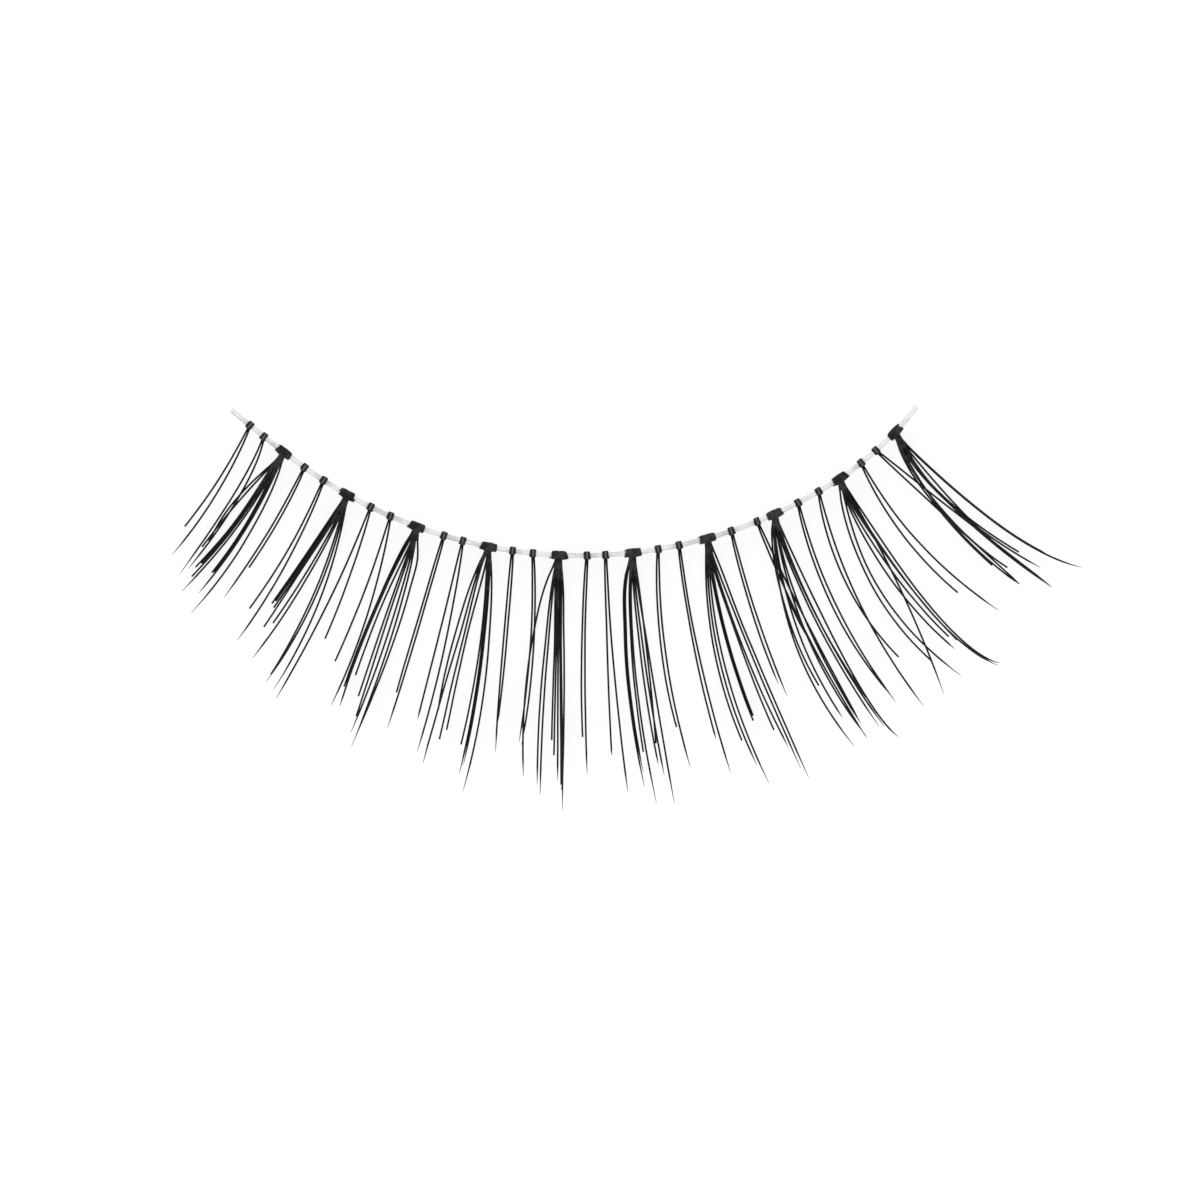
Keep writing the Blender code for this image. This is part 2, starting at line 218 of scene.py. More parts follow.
# In the finishes, lengths of lines and sizes of patches and beads are in mm, and a relief is its
# strength and its depth.
fibreFinish = {
    "black": (0.003, 0.0026, 0.0026),
    "worn": (0.013, 0.0105, 0.010),  # the paler lines and the paler fibres
    "paintedHighlightLoop": (0.085, 0.080, 0.076),  # the middle loop of a pair's knot, painted paler as a highlight of the gloss on its top
    "gloss": {"IOR": 1.5, "Specular IOR Level": 0.12, "Coat Roughness": 0.2},
    "roughness": (0.38, 0.55),
    "knotCoat": (0, 0.12),  # the turns of a pair's knot shine more than its loose hairs
    "grain": {"Line Length": 1.6, "Lines Around": 7.0, "Contrast": 1.6},
    "relief": (0.6, 0.002 * mm),
}


def makeFibreMaterial(values):
    material, tree, shader = startMaterial("black lash fibre", values["gloss"])
    grain = useGroup(tree, fibreGrain, values["grain"], (-900, 0))
    mask = calc(tree, "MULTIPLY", grain["Lines"], grain["Tone"], (-650, 150))
    black = blendColour(tree, mask, values["black"], values["worn"], (-400, 200))
    # the middle loop of a pair's knot is painted paler: a painted highlight, not a colour of the fibre
    paintedHighlight = readStored(tree, "paintedHighlightLoop", (-400, 450))
    colour = blendColour(tree, paintedHighlight, black, values["paintedHighlightLoop"], (-200, 300))
    plug(tree, colour, shader.inputs["Base Color"])
    plug(tree, spread(tree, grain["Lines"], values["roughness"], (-400, -50)), shader.inputs["Roughness"])
    knotted = readStored(tree, "inKnot", (-650, -500))
    plug(tree, spread(tree, knotted, values["knotCoat"], (-400, -500)), shader.inputs["Coat Weight"])
    addBump(tree, grain["Lines"], shader, values["relief"], (-300, -300))
    return material


glueFinish = {
    "black": (0.0035, 0.003, 0.003),
    "filmed": (0.026, 0.0190, 0.0180),  # dried glue greys the fibre a little
    "gloss": {"IOR": 1.5, "Specular IOR Level": 0.18, "Coat Roughness": 0.15},
    "roughness": (0.46, 0.26),
    "coat": (0, 0.25),
    "patches": {"Patch Size": 0.35, "Bead Size": 0.07, "Cover": 0.6},
    "grain": {"Line Length": 0.6, "Lines Around": 5.0, "Contrast": 1.4},
    "relief": (0.5, 0.008 * mm),
}


def makeGlueMaterial(values):
    material, tree, shader = startMaterial("black fibre in dried glue", values["gloss"])
    film = layGlueFilm(tree, shader, values, values["black"], values["filmed"])
    plug(tree, spread(tree, film, values["coat"], (-400, -150)), shader.inputs["Coat Weight"])
    return material


threadFinish = {
    "clear": (0.88, 0.88, 0.885),
    "milky": (0.44, 0.43, 0.41),
    "gloss": {"IOR": 1.53, "Transmission Weight": 0.3, "Specular IOR Level": 0.3},
    "roughness": (0.32, 0.5),  # clear stretches and the milky ones under glue
    "patches": {"Patch Size": 0.8, "Bead Size": 0.15, "Cover": 0.55},
    "grain": {"Line Length": 3.0, "Lines Around": 11.0, "Contrast": 1.2},
    "relief": (0.4, 0.0015 * mm),
}


def makeThreadMaterial(values):
    material, tree, shader = startMaterial("milky clear nylon", values["gloss"])
    layGlueFilm(tree, shader, values, values["clear"], values["milky"])
    return material


fibreMaterial = makeFibreMaterial(fibreFinish)
glueMaterial = makeGlueMaterial(glueFinish)
threadMaterial = makeThreadMaterial(threadFinish)
print("finishes made: fibre, dried glue, nylon")


def storeValue(tree, geometry, label, value, domain, at):
    node = putNode(tree, "GeometryNodeStoreNamedAttribute", at, data_type="FLOAT", domain=domain)
    plug(tree, geometry, node.inputs["Geometry"])
    plug(tree, label, node.inputs["Name"])
    plug(tree, value, node.inputs["Value"])
    return node.outputs["Geometry"]


def moveBy(tree, geometry, offset, at):
    node = putNode(tree, "GeometryNodeSetPosition", at)
    plug(tree, geometry, node.inputs["Geometry"])
    plug(tree, offset, node.inputs["Offset"])
    return node.outputs["Geometry"]


def turnAndMove(tree, geometry, angles, step, at):
    turn = putNode(tree, "FunctionNodeEulerToRotation", (at[0] - 200, at[1] - 400))
    plug(tree, angles, turn.inputs[0])
    node = putNode(tree, "GeometryNodeTransform", at)
    plug(tree, geometry, node.inputs["Geometry"])
    plug(tree, step, node.inputs["Translation"])
    plug(tree, turn.outputs[0], node.inputs["Rotation"])
    return node.outputs["Geometry"]


def unevenOffset(tree, amount, size, seed, at):
    # a smooth random step for each point
    x, y = at
    noise = putNode(tree, "ShaderNodeTexNoise", (x + 200, y), noise_dimensions="4D")
    noise.inputs["Detail"].default_value = 1
    plug(tree, putNode(tree, "GeometryNodeInputPosition", at).outputs[0], noise.inputs["Vector"])
    plug(tree, calc(tree, "DIVIDE", 1.0, size, (x, y - 100)), noise.inputs["Scale"])
    plug(tree, seed, noise.inputs["W"])
    centred = putNode(tree, "ShaderNodeVectorMath", (x + 400, y), operation="SUBTRACT")
    plug(tree, noise.outputs["Color"], centred.inputs[0])
    centred.inputs[1].default_value = (0.5, 0.5, 0.5)
    scaled = putNode(tree, "ShaderNodeVectorMath", (x + 600, y), operation="SCALE")
    plug(tree, centred.outputs[0], scaled.inputs[0])
    plug(tree, amount, scaled.inputs["Scale"])
    return scaled.outputs[0]


def sweepRound(tree, curves, given, at, thickness=1.0):
    # a round section swept along every curve, with the strand's own values for its finish:
    # how far along it, how far around it, and a tone for each strand
    x, y = at
    spline = putNode(tree, "GeometryNodeSplineParameter", (x - 200, y - 300))
    measured = storeValue(tree, curves, "alongStrand", spline.outputs["Length"], "POINT", at)
    chance = putNode(tree, "FunctionNodeRandomValue", (x, y - 300), data_type="FLOAT")
    plug(tree, putNode(tree, "GeometryNodeInputIndex", (x - 200, y - 500)).outputs[0], chance.inputs["ID"])
    plug(tree, given["Seed"], chance.inputs["Seed"])
    toned = storeValue(tree, measured, "strandTone", chance.outputs[1], "CURVE", (x + 200, y))
    circle = putNode(tree, "GeometryNodeCurvePrimitiveCircle", (x, y + 400))
    plug(tree, given["Strand Radius"], circle.inputs["Radius"])
    plug(tree, given["Sides"], circle.inputs["Resolution"])
    turn = putNode(tree, "GeometryNodeSplineParameter", (x, y + 200)).outputs["Factor"]
    section = storeValue(tree, circle.outputs["Curve"], "aroundStrand", turn, "POINT", (x + 200, y + 400))
    sweep = putNode(tree, "GeometryNodeCurveToMesh", (x + 400, y))
    plug(tree, toned, sweep.inputs["Curve"])
    plug(tree, section, sweep.inputs["Profile Curve"])
    plug(tree, thickness, sweep.inputs["Scale"])
    plug(tree, True, sweep.inputs["Fill Caps"])
    return sweep.outputs["Mesh"]


def endTree(tree, mesh, material, result):
    smooth = putNode(tree, "GeometryNodeSetShadeSmooth", (800, 0))
    plug(tree, mesh, smooth.inputs["Geometry"])
    real = putNode(tree, "GeometryNodeRealizeInstances", (1000, 0))
    plug(tree, smooth.outputs["Geometry"], real.inputs["Geometry"])
    paint = putNode(tree, "GeometryNodeSetMaterial", (1200, 0))
    plug(tree, real.outputs["Geometry"], paint.inputs["Geometry"])
    plug(tree, material, paint.inputs["Material"])
    plug(tree, paint.outputs["Geometry"], result)


def buildStrandSweep():
    # a strand along every curve, as thick as the curve's own radius says, that waves more and
    # more in plan towards its tip
    tree, given, result = startTree(
        "strandSweep", "GeometryNodeTree",
        [("Curves", "NodeSocketGeometry", None), ("Strand Radius", "NodeSocketFloat", 0.03 * mm),
         ("Sides", "NodeSocketInt", 8), ("Waviness", "NodeSocketFloat", 0.0),
         ("Wave Size", "NodeSocketFloat", 2 * mm), ("Seed", "NodeSocketInt", 0),
         ("Material", "NodeSocketMaterial", None)],
        [("Mesh", "NodeSocketGeometry")],
    )
    share = putNode(tree, "GeometryNodeSplineParameter", (-800, -500)).outputs["Factor"]
    growing = calc(tree, "MULTIPLY", given["Waviness"], share, (-600, -500))
    offset = unevenOffset(tree, growing, given["Wave Size"], given["Seed"], (-800, -700))
    flat = putNode(tree, "ShaderNodeVectorMath", (0, -700), operation="MULTIPLY")
    plug(tree, offset, flat.inputs[0])
    flat.inputs[1].default_value = (1, 1, 0)
    moved = moveBy(tree, given["Curves"], flat.outputs[0], (-600, 0))
    thickness = putNode(tree, "GeometryNodeInputRadius", (-200, -500)).outputs[0]
    mesh = sweepRound(tree, moved, given, (-400, 0), thickness)
    endTree(tree, mesh, given["Material"], result["Mesh"])
    return tree


def buildKnotWinding():
    # turns of fibre side by side round the thread: a little uneven, fuller in the middle,
    # and leaning apart on the side of the hairs
    tree, given, result = startTree(
        "knotWinding", "GeometryNodeTree",
        [("Turns", "NodeSocketFloat", 3.0), ("Coil Radius", "NodeSocketFloat", 0.13 * mm),
         ("Coil Width", "NodeSocketFloat", 0.2 * mm), ("Strand Radius", "NodeSocketFloat", 0.04 * mm),
         ("Belly", "NodeSocketFloat", 0.0), ("Lean", "NodeSocketFloat", 0.0),
         ("First Turn", "NodeSocketFloat", 0.0), ("Reverse", "NodeSocketBool", False),
         ("Painted Highlight", "NodeSocketFloat", 0.0), ("Steps", "NodeSocketInt", 14), ("Sides", "NodeSocketInt", 8),
         ("Unevenness", "NodeSocketFloat", 0.02 * mm), ("Uneven Size", "NodeSocketFloat", 0.12 * mm),
         ("Seed", "NodeSocketInt", 0), ("Place", "NodeSocketVector", (0, 0, 0)),
         ("Heading", "NodeSocketFloat", 0.0), ("Material", "NodeSocketMaterial", None)],
        [("Mesh", "NodeSocketGeometry")],
    )
    spiral = putNode(tree, "GeometryNodeCurveSpiral", (-1400, 0))
    for label, value in (
        ("Resolution", "Steps"), ("Rotations", "Turns"), ("Start Radius", "Coil Radius"),
        ("End Radius", "Coil Radius"), ("Height", "Coil Width"), ("Reverse", "Reverse"),
    ):
        plug(tree, given[value], spiral.inputs[label])
    half = calc(tree, "MULTIPLY", given["Coil Width"], 0.5, (-1600, -200))
    back = joinAxes(tree, (-1400, -200), z=calc(tree, "MULTIPLY", half, -1.0, (-1500, -300)))
    firstTurn = joinAxes(tree, (-1400, -400), z=given["First Turn"])
    coil = turnAndMove(tree, spiral.outputs["Curve"], firstTurn, back, (-1000, 0))

    axes = putNode(tree, "ShaderNodeSeparateXYZ", (-1200, -600))
    plug(tree, putNode(tree, "GeometryNodeInputPosition", (-1400, -600)).outputs[0], axes.inputs[0])
    side = calc(tree, "DIVIDE", axes.outputs["Z"], half, (-1000, -600))
    squared = calc(tree, "MULTIPLY", side, side, (-800, -600))
    fourth = calc(tree, "MULTIPLY", squared, squared, (-600, -600))
    fullness = calc(tree, "SUBTRACT", 1.0, fourth, (-400, -600))  # 1 in the middle, 0 at both ends
    swell = calc(tree, "MULTIPLY", fullness, given["Belly"], (-200, -600))
    swollen = calc(tree, "DIVIDE", swell, given["Coil Radius"], (0, -600))
    front = calc(tree, "DIVIDE", axes.outputs["Y"], given["Coil Radius"], (-800, -800))
    frontSide = calc(tree, "MULTIPLY", front, side, (-600, -800))
    apart = calc(tree, "MULTIPLY", frontSide, given["Lean"], (-400, -800))
    shape = joinAxes(
        tree, (200, -700),
        x=calc(tree, "MULTIPLY", axes.outputs["X"], swollen, (0, -700)),
        y=calc(tree, "MULTIPLY", axes.outputs["Y"], swollen, (0, -800)),
        z=calc(tree, "MULTIPLY", apart, -1.0, (0, -900)),
    )
    bellied = moveBy(tree, coil, shape, (-800, 0))
    offset = unevenOffset(tree, given["Unevenness"], given["Uneven Size"], given["Seed"], (-800, -1100))
    moved = moveBy(tree, bellied, offset, (-600, 0))

    marked = storeValue(tree, moved, "inKnot", 1.0, "CURVE", (-400, 0))
    # marks the loop that is painted paler as a highlight
    withPaintedHighlight = storeValue(tree, marked, "paintedHighlightLoop", given["Painted Highlight"], "CURVE", (-300, 150))
    mesh = sweepRound(tree, withPaintedHighlight, given, (-200, 0))
    angles = joinAxes(tree, (200, -400), y=math.pi / 2, z=given["Heading"])  # lays the axis on the thread
    seated = turnAndMove(tree, mesh, angles, given["Place"], (600, 0))
    endTree(tree, seated, given["Material"], result["Mesh"])
    return tree


strandSweep = buildStrandSweep()
knotWinding = buildKnotWinding()


def runTree(carrier, tree, values):
    # gives the plain mesh that the tree makes on a carrier object, which goes again
    modifier = carrier.modifiers.new("nodes", "NODES")
    modifier.node_group = tree
    for item in tree.interface.items_tree:
        if item.in_out == "INPUT" and item.name in values:
            modifier[item.identifier] = values[item.name]
    bpy.context.scene.collection.objects.link(carrier)
    graph = bpy.context.evaluated_depsgraph_get()
    mesh = bpy.data.meshes.new_from_object(
        carrier.evaluated_get(graph), preserve_all_data_layers=True, depsgraph=graph,
    )
    carrier.modifiers.clear()
    bpy.data.objects.remove(carrier, do_unlink=True)
    return mesh


def sweepStrands(name, strands, values):
    # a strand is a list of places, each with the share of the full radius it has there
    curve = bpy.data.curves.new(name, "CURVE")
    curve.dimensions = "3D"
    for strand in strands:
        spline = curve.splines.new("POLY")
        spline.points.add(len(strand) - 1)
        for point, (place, share) in zip(spline.points, strand):
            point.co = (*place, 1)
            point.radius = share
    return runTree(bpy.data.objects.new(name, curve), strandSweep, values)


def joinMeshes(name, meshes):
    # one object at the origin from several meshes, with their attributes kept
    objects = [bpy.data.objects.new(name, mesh) for mesh in meshes]
    for item in objects:
        bpy.context.scene.collection.objects.link(item)
    if len(objects) > 1:
        with bpy.context.temp_override(
            active_object=objects[0], object=objects[0],
            selected_objects=objects, selected_editable_objects=objects,
        ):
            bpy.ops.object.join()
    objects[0].name = name
    objects[0].data.name = name
    return objects[0]


def finishPiece(piece, node):
    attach(piece, "root")
    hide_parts(node)


thread = {  # clear nylon, bent to the eyelid's edge in three arcs
    "arcs": [(3.3, 3.5), (22.7, 68.4), (4.7, 20.4)],  # mm long, degrees turned to the left
    "heading": math.radians(-40.2),
    "radius": 0.1 * mm,
    "rise": 0.03 * mm,  # its middle above the line of the hairs' undersides
    "sides": 24,
    "steps": 260,
}

hair = {
    "radius": 0.04 * mm,
    "thinning": 0.08,  # lost on the way from the knot to the tip
    "cutShare": 0.84,  # hairs shorter than this share of their tuft's longest end blunt
    "pairPoint": 0.8 * mm,  # how long the fine point of the longest hair is
    "clusterPoint": 1.2 * mm,
    "leastPointShare": 0.3,  # of that length, on the shortest hair that still has a point
    "finest": 0.2,  # of the full thickness, at the very tip
    "curlRadius": 10 * mm,
    "bellyDistance": 3.8 * mm,  # where a hair touches the table
    "liftStep": 0.1 * mm,  # hairs that cross lie on each other, in steps of this height
    "liftTurns": 3,
    "liftRun": 1.3 * mm,
    "spreadRun": 3 * mm,  # over this run a hair comes from its seat by the knot onto its own curve
    "sides": 6,
    "steps": 22,
    "pointSteps": 4,
    "waviness": 0.03 * mm,
    "sideStep": 0.036 * mm,  # half the step between the two hairs of a double lock
    "shorter": 0.05,  # how much shorter the second one may be
}


def ease(share):
    share = min(max(share, 0), 1)
    return share * share * (3 - 2 * share)


def curlHeight(distance):
    # how high a hair's underside is, a distance out from its knot
    radius = hair["curlRadius"]
    return radius - math.sqrt(radius ** 2 - (distance - hair["bellyDistance"]) ** 2)


threadHeight = curlHeight(0) + thread["rise"]
threadLength = sum(length for length, turn in thread["arcs"]) * mm


def threadPlace(station):
    # the thread's middle and its heading, a distance along it from its inner end
    place = Vector((0, 0, threadHeight))
    heading = thread["heading"]
    left = station
    for length, degrees in thread["arcs"]:
        run = min(left, length * mm)
        turn = math.radians(degrees) * run / (length * mm)
        if turn:
            chord = 2 * run / turn * math.sin(turn / 2)
            middle = heading + turn / 2
            place = place + Vector((math.cos(middle), math.sin(middle), 0)) * chord
        heading += turn
        left -= run
    return place, heading


def findChartShift():
    # the chart starts at the thread's inner end, and the frame in the middle of the strip
    edges = []
    for step in range(thread["steps"] + 1):
        place, heading = threadPlace(threadLength * step / thread["steps"])
        across = Vector((-math.sin(heading), math.cos(heading), 0)) * thread["radius"]
        edges += [place + across, place - across]
    low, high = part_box("band")
    shift = Vector()
    for axis in (0, 1):
        values = [edge[axis] for edge in edges]
        shift[axis] = (low[axis] + high[axis] - min(values) - max(values)) / 2
    return shift


chartShift = findChartShift()
print("chart shift in mm:", [round(value / mm, 4) for value in chartShift])


def makeThread(values):
    stations = [threadLength * step / values["steps"] for step in range(values["steps"] + 1)]
    strand = [(threadPlace(station)[0] + chartShift, 1) for station in stations]
    mesh = sweepStrands("band_thread", [strand], {
        "Strand Radius": values["radius"], "Sides": values["sides"], "Material": threadMaterial,
    })
    finishPiece(joinMeshes("band_thread", [mesh]), "band")


makeThread(thread)
print("thread made,", round(threadLength / mm, 1), "mm long")


# Each row is a station along the thread and the tuft's locks, in mm: a lock's tip across and down
# from the knot, and how far its middle bows to the right. "hairs" is how many lie in it, "bend" the
# share of its length where it bows most, "over" rides over its neighbours, "cut" is trimmed although
# it is long, "free" is where it leaves the glue and "out" how far off it stands where the hairs part.
tuftChart = [
    (0.96, [(-2.62, 4.04, 0.12), (-3.12, 5.16, 0.26)]),
    (1.67, [(-3.36, 5.48, 0.18, {"bend": 0.3}), (-3.03, 5.29, 0.33, {"bend": 0.35})], "over"),
    (2.68, [
        (-3.00, 3.56, -0.29, {"free": 0.6, "out": 0.05}), (-3.28, 3.80, -0.09, {"free": 0.6, "out": 0.05}),
        (-3.51, 4.63, 0.17, {"hairs": 2}), (-3.69, 4.98, 0.20), (-4.08, 5.55, 0.27),
        (-2.85, 4.85, 0.19, {"hairs": 2}), (-3.41, 5.64, 0.28),
        (-3.71, 6.43, 0.43, {"free": 0.5, "out": 0.06}),
    ]),
    (3.71, [(-3.21, 5.18, 0.12), (-2.23, 4.01, 0.12)]),
    (4.63, [(-2.97, 5.13, 0.16), (-3.45, 6.40, 0.26)]),
    (5.74, [
        (-2.99, 4.38, 0.02, {"hairs": 2}), (-2.95, 4.53, 0.05), (-3.34, 5.29, 0.05),
        (-2.98, 5.14, 0.15), (-3.79, 6.54, 0.27), (-3.05, 7.18, 0.32, {"cut": True}),
        (-3.24, 7.48, 0.45), (-2.95, 7.79, 0.46),
    ]),
    (6.80, [(-3.78, 7.66, 0.16), (-1.84, 5.28, 0.11)]),
    (7.67, [(-2.22, 5.80, 0.10), (-2.37, 7.58, 0.29)]),
    (8.81, [
        (-2.88, 6.41, -0.17, {"hairs": 2, "free": 0.6, "out": 0.05}),
        (-3.08, 7.19, -0.22, {"free": 0.6, "out": 0.05}), (-2.46, 5.94, -0.10),
        (-2.34, 6.78, -0.03), (-2.42, 7.58, 0, {"cut": True}), (-2.63, 8.22, 0.20),
        (-2.57, 8.70, 0.27, {"bend": 0.35}), (-2.61, 8.78, 0.45, {"bend": 0.2, "free": 0.45, "out": 0.11}),
    ]),
    (9.95, [(-1.90, 6.27, -0.03), (-2.25, 7.69, 0.06)]),
    (10.73, [(-1.81, 7.14, 0), (-1.82, 8.43, 0.18)]),
    (11.79, [
        (-2.02, 6.52, -0.25, {"free": 0.8, "out": 0.12}), (-2.62, 8.66, -0.08, {"out": 0.11}),
        (-1.96, 7.69, -0.08, {"out": 0.10}), (-1.68, 7.32, -0.05), (-1.10, 7.90, 0.20, {"out": 0.04}),
        (-1.13, 9.08, 0.26, {"hairs": 2, "out": 0.06}), (-1.03, 9.80, 0.43, {"free": 0.8, "out": 0.11}),
    ]),
    (12.76, [(-0.68, 8.02, -0.06), (-0.58, 6.84, 0.07)]),
    (13.58, [(-0.55, 7.55, 0.17), (-0.45, 7.66, 0.25)], "over"),
    (14.63, [
        (-1.43, 8.84, -0.52, {"bend": 0.4, "free": 0.65, "out": 0.15}), (-0.87, 9.17, -0.22),
        (-0.75, 9.58, -0.16), (-0.30, 7.40, -0.03), (-0.21, 8.00, -0.01), (-0.06, 8.99, -0.01),
        (0.08, 9.16, 0.01, {"cut": True}), (0.14, 10.17, 0.03),
        (0.12, 9.36, 0.15, {"bend": 0.35, "cut": True, "free": 1.0}),
    ]),
    (15.75, [(-0.18, 7.25, -0.12), (0.01, 8.74, -0.09)]),
    (16.49, [(0.25, 8.02, -0.05), (0.89, 9.48, -0.09)]),
    (17.59, [
        (0.50, 9.36, -0.49, {"hairs": 2, "bend": 0.35, "free": 0.5, "out": 0.09}),
        (0.42, 7.96, -0.26, {"bend": 0.4}), (0.94, 10.01, -0.35, {"bend": 0.4}),
        (1.02, 8.48, -0.18), (1.25, 8.88, -0.13), (0.92, 7.62, 0.08), (1.65, 10.01, -0.03),
    ]),
    (18.61, [(0.73, 7.12, -0.29), (1.28, 8.70, -0.31)]),
    (19.46, [(1.48, 7.74, -0.18), (2.05, 9.07, -0.19)]),
    (20.62, [
        (1.38, 8.08, -0.48), (1.98, 9.07, -0.55), (2.46, 9.77, -0.56),
        (1.87, 7.27, -0.25, {"hairs": 2}), (2.66, 7.66, -0.16, {"free": 0.9}),
        (3.24, 8.36, -0.24, {"free": 0.75}), (3.73, 9.18, -0.11, {"bend": 0.4, "free": 0.65}),
        (4.04, 9.55, -0.05, {"free": 0.65, "out": 0.07}),
    ]),
    (21.63, [(1.88, 6.12, -0.16), (2.22, 6.60, -0.11)]),
    (22.73, [(4.37, 8.64, -0.26), (4.14, 8.08, -0.07)], "over"),
    (23.50, [
        (3.17, 9.29, -0.91, {"free": 0.8, "out": 0.04}), (1.75, 6.86, -0.52, {"free": 0.8, "out": 0.04}),
        (2.70, 8.14, -0.60, {"free": 0.8, "out": 0.04}), (1.44, 5.12, -0.42),
        (3.64, 8.88, -0.66), (3.43, 8.38, -0.48, {"bend": 0.4}), (4.16, 8.50, -0.41, {"bend": 0.4}),
        (4.36, 8.49, -0.38), (3.64, 7.32, -0.33),
        (4.92, 8.90, -0.37, {"bend": 0.85, "free": 0.8, "out": 0.04}),
    ]),
    (24.53, [(3.80, 7.80, -0.58), (3.90, 7.96, -0.43)]),
    (25.47, [(3.19, 6.62, -0.60), (4.16, 8.54, -0.48)]),
    (26.46, [
        (3.69, 7.32, -0.78, {"free": 0.5, "out": 0.1}), (4.84, 7.88, -0.96, {"free": 0.65}),
        (4.60, 6.83, -0.56), (4.14, 8.60, 0.27, {"over": True}), (4.35, 6.32, -0.38),
        (4.68, 6.46, -0.29, {"over": True}),
        (6.30, 7.47, -0.66, {"bend": 0.75, "free": 0.8}), (6.40, 7.38, -0.62, {"bend": 0.85, "free": 0.8}),
    ]),
    (27.52, [(3.87, 5.19, -0.38), (5.48, 5.89, -0.47)]),
    (28.29, [(7.02, 5.45, 0), (5.75, 5.34, -0.03)], "over"),
    (29.36, [
        (3.88, 5.33, -0.42, {"bend": 0.4}), (4.48, 5.42, -0.52), (4.96, 6.09, -0.54),
        (6.22, 6.20, -0.50, {"bend": 0.33}), (5.80, 5.42, -0.61, {"bend": 0.4}),
        (4.95, 4.80, -0.50, {"bend": 0.4}),
        (5.53, 5.60, -0.33, {"bend": 0.65, "free": 0.75}), (6.05, 4.87, -0.31, {"bend": 0.65, "free": 0.75}),
        (7.45, 5.42, -0.58, {"bend": 0.7, "free": 0.75, "out": 0.03}),
    ]),
]

pairTuft = {  # two loops side by side, a middle one between them painted paler as a highlight, and strands across their front
    "start": 0.26 * mm,  # where the two hairs are side by side, out from the thread
    "spacing": 0.078 * mm,
    "widest": 0.078 * mm,
    "point": hair["pairPoint"],
    "hairStart": 0.11 * mm,
    "loopStep": (0.074 * mm, 0.086 * mm),  # how far each loop sits from the knot's middle
    "turns": 2.0,
    "coilRadius": 0.128 * mm,
    "belly": 0.004 * mm,
    "lean": 0.012 * mm,
    "coilWidth": 0.056 * mm,
    "strandRadius": 0.037 * mm,
    "unevenness": 0.022 * mm,
    "bars": [  # degrees round the thread, half width and thickness in mm
        (-8, 0.095, 0.036), (24, 0.075, 0.032), (172, 0.060, 0.030),
    ],
    "barRadius": 0.142 * mm,
}

clusterTuft = {
    "start": 0.95 * mm,
    "spacing": 0.060 * mm,
    "widest": 0.44 * mm,  # from the first hair to the last one where they start to part
    "point": hair["clusterPoint"],
    "hairStart": 0.12 * mm,
    "neckDistance": 0.19 * mm,
    "neckWidth": 0.15 * mm,  # from the first hair to the last one in the neck
    "neckFlare": 0.7,  # how much wider they lie where they come out of the knot
    "layerStep": 0.042 * mm,  # the hairs lie in three layers until they part
    "turns": 8.0,
    "coilRadius": 0.126 * mm,
    "belly": 0.026 * mm,
    "lean": 0.030 * mm,
    "coilWidth": 0.66 * mm,
    "strandRadius": 0.040 * mm,
    "unevenness": 0.05 * mm,
    "bars": [
        (-14, 0.20, 0.045), (14, 0.23, 0.045), (46, 0.15, 0.038), (100, 0.18, 0.030),
    ],
    "barRadius": 0.158 * mm,
    "firstSeed": 100,  # past the pairs' seeds
}

knotBars = {"steps": 10, "slip": 0.1, "lengths": (0.9, 1.1)}  # slip and lengths are shares of the half width

gluedRoots = {  # radii at the knot and at the glue's end, reach in mm for the middle hair and the outer ones
    "web": {"radii": (0.052 * mm, 0.034 * mm), "reach": (1.10, 0.60)},  # fills the neck, webs the hairs
    "coat": {"radii": (0.045 * mm, hair["radius"]), "reach": (2.1, 1.2)},  # runs on along each hair
    "unevenness": 0.2,
    "steps": 10,
}

glueSkin = {"voxel": 0.018, "softening": 0.5, "rounds": 3}  # the voxel in mm


def readLock(across, down, bow, extra=None):
    extra = extra or {}
    tip = Vector((across, -down, 0)) * mm
    rightward = up.cross(tip).normalized()
    handle = tip * extra.get("bend", 0.5) + rightward * (2 * bow * mm)
    return {
        "tip": tip, "handle": handle, "hairs": extra.get("hairs", 1),
        "over": extra.get("over", False), "cut": extra.get("cut", False),
        "free": extra.get("free"), "out": extra.get("out", 0) * mm,
    }


def planPoint(lock, distance):
    share = distance / lock["tip"].length
    point = lock["handle"] * (2 * share * (1 - share)) + lock["tip"] * share ** 2
    return point + lock["aside"] * (1 - ease((distance - lock["start"]) / hair["spreadRun"]))


def pointLength(lock, longest, full):
    # the nearer a hair comes to its tuft's longest, the more it keeps of its fine point
    reach = lock["tip"].length / longest
    if lock["cut"] or reach < hair["cutShare"]:
        return 0
    share = (reach - hair["cutShare"]) / (1 - hair["cutShare"])
    return full * (hair["leastPointShare"] + (1 - hair["leastPointShare"]) * share)


def readTuft(row, values):
    # the tuft's place and directions, and its locks in their order across the knot
    station, locks = row[:2]
    locks = [readLock(*lock) for lock in locks]
    place, heading = threadPlace(station * mm)
    ahead = sum((lock["handle"].normalized() for lock in locks), Vector()).normalized()
    across = up.cross(ahead)
    longest = max(lock["tip"].length for lock in locks)
    locks.sort(key=lambda lock: lock["handle"].normalized().dot(across))
    steps = len(locks) - 1
    width = min(values["spacing"] * steps, values["widest"])
    for index, lock in enumerate(locks):
        over = len(row) > 2 or lock["over"]
        lock["share"] = index / steps - 0.5  # from -0.5 for the tuft's first lock to 0.5 for its last one
        lock["offset"] = width * lock["share"] + math.copysign(lock["out"], lock["share"])
        lock["layer"] = index % hair["liftTurns"]
        lock["lift"] = hair["liftStep"] * (lock["layer"] + (hair["liftTurns"] if over else 0))
        lock["point"] = pointLength(lock, longest, values["point"])
        lock["start"] = values["start"]
        lock["aside"] = Vector()
        seat = ahead * values["start"] + across * lock["offset"]
        lock["aside"] = seat - planPoint(lock, values["start"])
    return {"place": place + chartShift, "heading": heading, "ahead": ahead, "across": across, "locks": locks}


